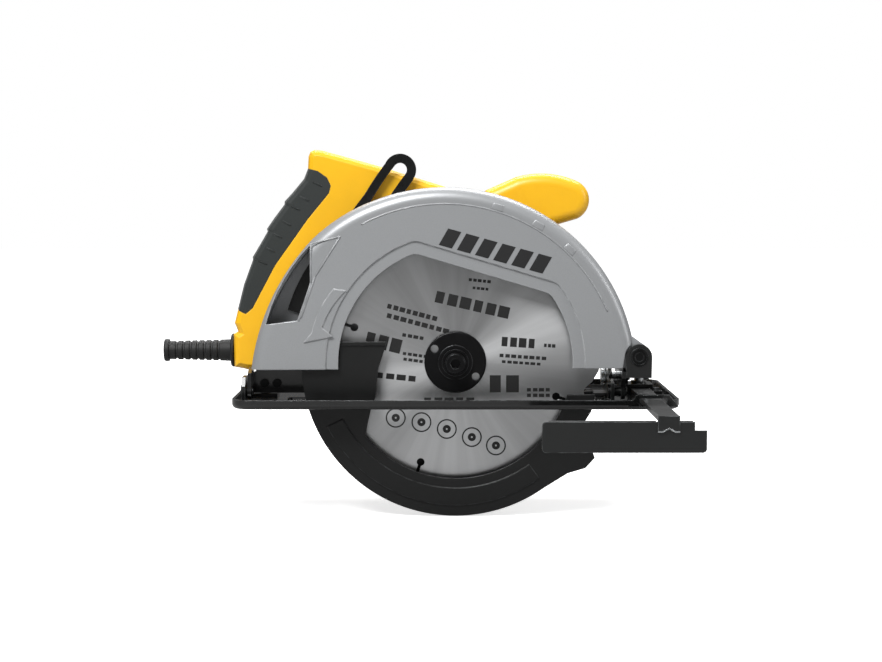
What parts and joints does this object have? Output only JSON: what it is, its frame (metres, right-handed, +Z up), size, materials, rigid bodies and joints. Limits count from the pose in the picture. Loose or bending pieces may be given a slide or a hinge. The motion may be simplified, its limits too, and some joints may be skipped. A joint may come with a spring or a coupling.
{
  "type": "circular saw",
  "caption": "Hand-held electric circular saw with D-handle, front knob, swinging lower guard, tilting shoe, depth guide and rip fence.",
  "frame": {"origin": "centre of the shoe's underside", "axes": "+X is the cutting direction, +Y points to the motor side, +Z is up"},
  "size_m": [0.3351, 0.2754, 0.2326],
  "materials": {
    "bearing_steel": "ground",
    "black_nylon": "fine textured black",
    "black_steel": "black oxide",
    "blade_steel": "ground and polished",
    "bracket_paint": "black enamel on steel",
    "brass": "drawn",
    "carbide": "ground carbide",
    "carbon": "pressed carbon",
    "case_casting": "die-cast, unpainted",
    "copper_wire": "enamelled copper",
    "duct_plastic": "fine matt",
    "fan_plastic": "moulded",
    "fence_paint": "satin black enamel on steel",
    "gear_steel": "hobbed and hardened",
    "grip_rubber": "soft over-moulded",
    "guard_casting": "satin grey paint on die-cast aluminium",
    "lamination_steel": "stacked sheet",
    "lower_guard_paint": "satin black",
    "shoe_paint": "gloss black enamel on pressed steel",
    "sleeve_rubber": "moulded",
    "spring_steel": "oil tempered",
    "switch_plastic": "moulded",
    "yellow_nylon": "fine textured yellow",
    "zinc_steel": "bright zinc plate"
  },
  "bodies": {
    "shoe": {"shoe_plate": "shoe_paint", "front_bevel_quadrant": "bracket_paint", "rear_bevel_bracket": "bracket_paint", "bevel_pivot_pins": "zinc_steel", "fence_saddle": "shoe_paint", "shoe_rivets": "zinc_steel"},
    "fence": {"fence_bar": "fence_paint", "fence_plate": "fence_paint"},
    "fence_clamp": {"fence_clamp_screw": "zinc_steel", "fence_clamp_knob": "black_nylon"},
    "tilt_frame": {"front_tilt_yoke": "bracket_paint", "front_pivot_pin": "black_steel", "depth_guide": "bracket_paint", "rear_tilt_plate": "bracket_paint", "guide_rivets": "zinc_steel", "bevel_clamp_bolt": "zinc_steel"},
    "bevel_lever": {"bevel_lock_lever": "black_nylon"},
    "saw_body": {"upper_guard": "guard_casting", "chip_deflector": "duct_plastic", "gear_case": "case_casting", "gear_case_cover": "case_casting", "case_screws": "zinc_steel", "spindle_bearings": "bearing_steel", "armature_bearings": "bearing_steel", "motor_housing": "yellow_nylon", "motor_end_cap": "yellow_nylon", "field_core": "lamination_steel", "field_coils": "copper_wire", "brush_holders": "brass", "carbon_brushes": "carbon", "brush_caps": "black_nylon", "guard_retaining_ring": "spring_steel", "guard_return_spring": "spring_steel", "depth_lock_stud": "zinc_steel", "rubber_grip": "grip_rubber", "handle_near_shell": "yellow_nylon", "handle_far_shell": "yellow_nylon", "handle_screws": "black_steel", "switch_block": "switch_plastic", "strain_relief": "sleeve_rubber", "front_handle": "yellow_nylon"},
    "blade_group": {"spindle": "bearing_steel", "driven_gear": "gear_steel", "inner_flange": "black_steel", "outer_flange": "black_steel", "bolt_washer": "black_steel", "blade_bolt": "black_steel", "saw_blade": "blade_steel", "carbide_tips": "carbide"},
    "armature": {"armature_shaft": "bearing_steel", "motor_pinion": "gear_steel", "armature_core": "lamination_steel", "commutator": "copper_wire", "cooling_fan": "fan_plastic"},
    "lower_guard": {"lower_guard": "lower_guard_paint"},
    "depth_lever": {"depth_lock_lever": "black_nylon"},
    "trigger": {"trigger": "black_nylon"},
    "lock_button": {"lock_button": "black_nylon"},
    "spindle_lock": {"spindle_lock_button": "black_nylon"}
  },
  "joints": [
    {"name": "bevel", "type": "hinge", "parent": "shoe", "child": "tilt_frame", "pos_m": [0, -0.035, 0.008], "axis": [1, 0, 0], "range_deg": [0, 45]},
    {"name": "depth", "type": "hinge", "parent": "tilt_frame", "child": "saw_body", "pos_m": [0.116, -0.035, 0.031], "axis": [0, 1, 0], "range_deg": [0, 34]},
    {"name": "blade_spin", "type": "hinge", "parent": "saw_body", "child": "blade_group", "pos_m": [0, -0.035, 0.027], "axis": [0, 1, 0], "continuous": true},
    {"name": "armature_spin", "type": "hinge", "parent": "saw_body", "child": "armature", "pos_m": [0, -0.035, 0.0515], "axis": [0, 1, 0], "continuous": true},
    {"name": "lower_guard_swing", "type": "hinge", "parent": "saw_body", "child": "lower_guard", "pos_m": [0, -0.035, 0.027], "axis": [0, 1, 0], "range_deg": [0, 150], "stiffness_Nm_per_rad": 0.08, "springref_deg": -68.75},
    {"name": "depth_lock", "type": "hinge", "parent": "saw_body", "child": "depth_lever", "pos_m": [-0.07553, -0.015, 0.04439], "axis": [0, 1, 0], "range_deg": [0, 35]},
    {"name": "bevel_lock", "type": "hinge", "parent": "tilt_frame", "child": "bevel_lever", "pos_m": [0.11, -0.00174, 0.01507], "axis": [1, 0, 0], "range_deg": [0, 60]},
    {"name": "trigger_pull", "type": "slide", "parent": "saw_body", "child": "trigger", "axis": [-0.8914, 0, 0.4532], "range_m": [0, 0.006], "stiffness_N_per_m": 800, "springref_m": -0.002},
    {"name": "lock_push", "type": "slide", "parent": "saw_body", "child": "lock_button", "axis": [0, -1, 0], "range_m": [0, 0.002], "stiffness_N_per_m": 400, "springref_m": -0.001},
    {"name": "spindle_lock_push", "type": "slide", "parent": "saw_body", "child": "spindle_lock", "axis": [-1, 0, 0], "range_m": [0, 0.003], "stiffness_N_per_m": 500, "springref_m": -0.001},
    {"name": "fence_slide", "type": "slide", "parent": "shoe", "child": "fence", "axis": [0, 1, 0], "range_m": [-0.02, 0.06]},
    {"name": "fence_clamp_turn", "type": "hinge", "parent": "shoe", "child": "fence_clamp", "pos_m": [0.1225, 0.018, 0.02], "axis": [0, 0, 1], "range_deg": [0, 360]}
  ],
  "couplings": [
    {"joint": "armature_spin", "follows": "blade_spin", "ratio": -4.4444}
  ]
}
